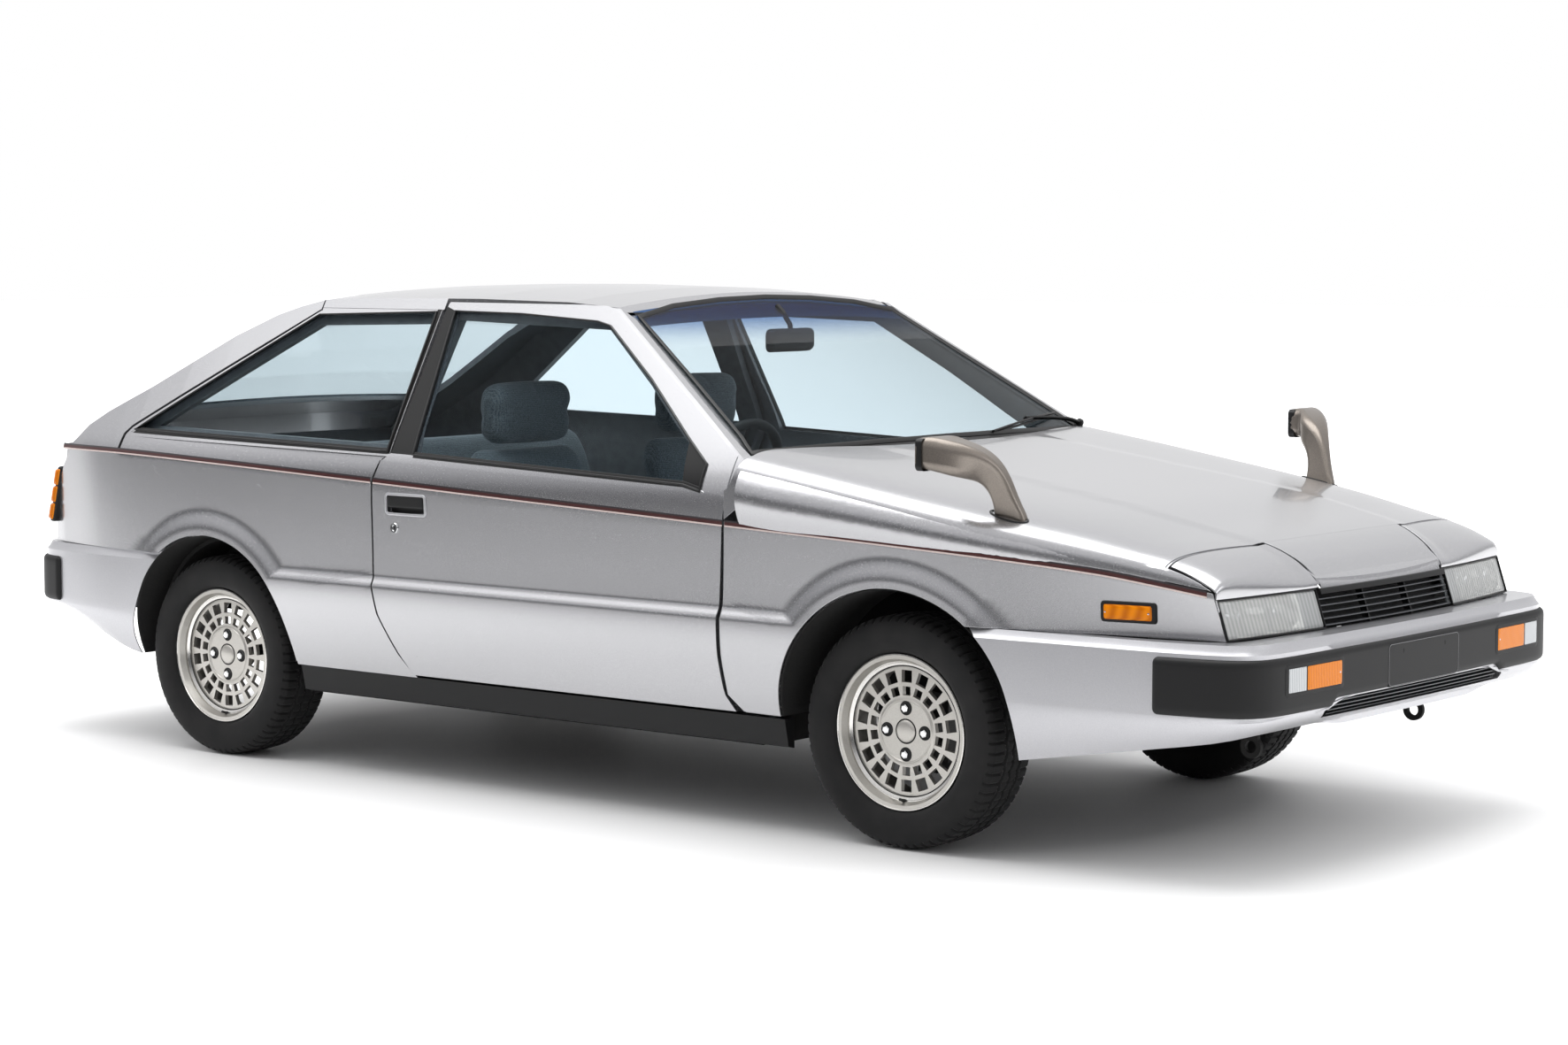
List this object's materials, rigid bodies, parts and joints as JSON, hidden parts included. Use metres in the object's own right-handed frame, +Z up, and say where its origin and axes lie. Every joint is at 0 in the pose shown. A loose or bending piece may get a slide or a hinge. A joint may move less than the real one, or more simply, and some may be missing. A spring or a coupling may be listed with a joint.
{
  "type": "sports coupe",
  "caption": "Two-door wedge hatchback coupe with opening doors, bonnet and tailgate, lamp lids, steered front wheels and a trimmed cabin.",
  "frame": {"origin": "on the ground under the middle of the car's overall box", "axes": "+X forward, +Y to the left, +Z up"},
  "size_m": [4.31, 1.852, 1.3568],
  "materials": {
    "silver_paint": "metallic",
    "silver_bumper": "metallic",
    "underbody": "matte",
    "inner_frame": "satin",
    "glass": "clear",
    "black_rubber": "matte",
    "black_plastic": "satin",
    "lamp_glass": "clear fluted",
    "amber_lens": "gloss",
    "mirror_shell": "metallic",
    "dash_plastic": "grained",
    "seat_cloth": "woven",
    "engine_iron": "cast",
    "exhaust_steel": "dull",
    "alloy": "satin",
    "tyre": "matte"
  },
  "bodies": {
    "body": {"floor_pan": "underbody", "engine_bay": "underbody", "cabin_frame": "inner_frame", "roof_panel": "silver_paint", "quarter_right": "silver_paint", "quarter_left": "silver_paint", "front_wing_right": "silver_paint", "front_wing_left": "silver_paint", "tail_panel": "silver_paint", "fixed_glass": "glass", "front_bumper": "silver_bumper", "rear_bumper": "silver_bumper", "bumper_pads": "black_rubber", "grille": "black_plastic", "headlamps": "lamp_glass", "signal_lamps": "amber_lens", "dashboard": "dash_plastic", "front_seats": "seat_cloth", "rear_seat": "seat_cloth", "engine_block": "engine_iron", "front_crossmember": "underbody", "rear_axle": "underbody", "exhaust": "exhaust_steel", "sill_covers": "black_plastic"},
    "bonnet": {"bonnet": "silver_paint", "wing_mirrors": "mirror_shell"},
    "door_right": {"door_right": "silver_paint", "door_glass_right": "glass"},
    "door_left": {"door_left": "silver_paint", "door_glass_left": "glass"},
    "tailgate": {"tailgate": "silver_paint", "tailgate_glass": "glass"},
    "headlamp_lid_right": {"headlamp_lid_right": "silver_paint"},
    "headlamp_lid_left": {"headlamp_lid_left": "silver_paint"},
    "steering_wheel": {"steering_wheel": "black_plastic"},
    "knuckle_right": {"knuckle_right": "engine_iron"},
    "knuckle_left": {"knuckle_left": "engine_iron"},
    "wheel_front_right": {"rim_front_right": "alloy", "tyre_front_right": "tyre"},
    "wheel_front_left": {"rim_front_left": "alloy", "tyre_front_left": "tyre"},
    "wheel_rear_right": {"rim_rear_right": "alloy", "tyre_rear_right": "tyre"},
    "wheel_rear_left": {"rim_rear_left": "alloy", "tyre_rear_left": "tyre"}
  },
  "joints": [
    {"name": "steer_right", "type": "hinge", "parent": "body", "child": "knuckle_right", "pos_m": [1.138, -0.62, 0.288], "axis": [0, 0, 1], "range_deg": [-33, 33]},
    {"name": "steer_left", "type": "hinge", "parent": "body", "child": "knuckle_left", "pos_m": [1.138, 0.62, 0.288], "axis": [0, 0, 1], "range_deg": [-33, 33]},
    {"name": "steering_wheel_turn", "type": "hinge", "parent": "body", "child": "steering_wheel", "pos_m": [0.285, -0.37, 0.83], "axis": [0.9135, 0, -0.4067], "range_deg": [-500, 500]},
    {"name": "roll_front_right", "type": "hinge", "parent": "knuckle_right", "child": "wheel_front_right", "pos_m": [1.138, -0.681, 0.288], "axis": [0, 1, 0], "continuous": true},
    {"name": "roll_front_left", "type": "hinge", "parent": "knuckle_left", "child": "wheel_front_left", "pos_m": [1.138, 0.681, 0.288], "axis": [0, 1, 0], "continuous": true},
    {"name": "roll_rear_right", "type": "hinge", "parent": "body", "child": "wheel_rear_right", "pos_m": [-1.302, -0.681, 0.288], "axis": [0, 1, 0], "continuous": true},
    {"name": "roll_rear_left", "type": "hinge", "parent": "body", "child": "wheel_rear_left", "pos_m": [-1.302, 0.681, 0.288], "axis": [0, 1, 0], "continuous": true},
    {"name": "door_right_open", "type": "hinge", "parent": "body", "child": "door_right", "pos_m": [0.622, -0.822, 0.5], "axis": [0, 0, 1], "range_deg": [0, 65]},
    {"name": "door_left_open", "type": "hinge", "parent": "body", "child": "door_left", "pos_m": [0.622, 0.822, 0.5], "axis": [0, 0, -1], "range_deg": [0, 65]},
    {"name": "bonnet_open", "type": "hinge", "parent": "body", "child": "bonnet", "pos_m": [2.07, 0, 0.64], "axis": [0, 1, 0], "range_deg": [0, 50]},
    {"name": "tailgate_open", "type": "hinge", "parent": "body", "child": "tailgate", "pos_m": [-1.036, 0, 1.345], "axis": [0, 1, 0], "range_deg": [0, 60]},
    {"name": "lid_right_open", "type": "hinge", "parent": "body", "child": "headlamp_lid_right", "pos_m": [1.896, -0.525, 0.746], "axis": [-0.0876, -0.9956, -0.0319], "range_deg": [0, 15]},
    {"name": "lid_left_open", "type": "hinge", "parent": "body", "child": "headlamp_lid_left", "pos_m": [1.896, 0.525, 0.746], "axis": [0.0876, -0.9956, 0.0319], "range_deg": [0, 15]}
  ],
  "couplings": [
    {"joint": "steer_left", "follows": "steer_right", "ratio": 1},
    {"joint": "steering_wheel_turn", "follows": "steer_right", "ratio": -15}
  ]
}
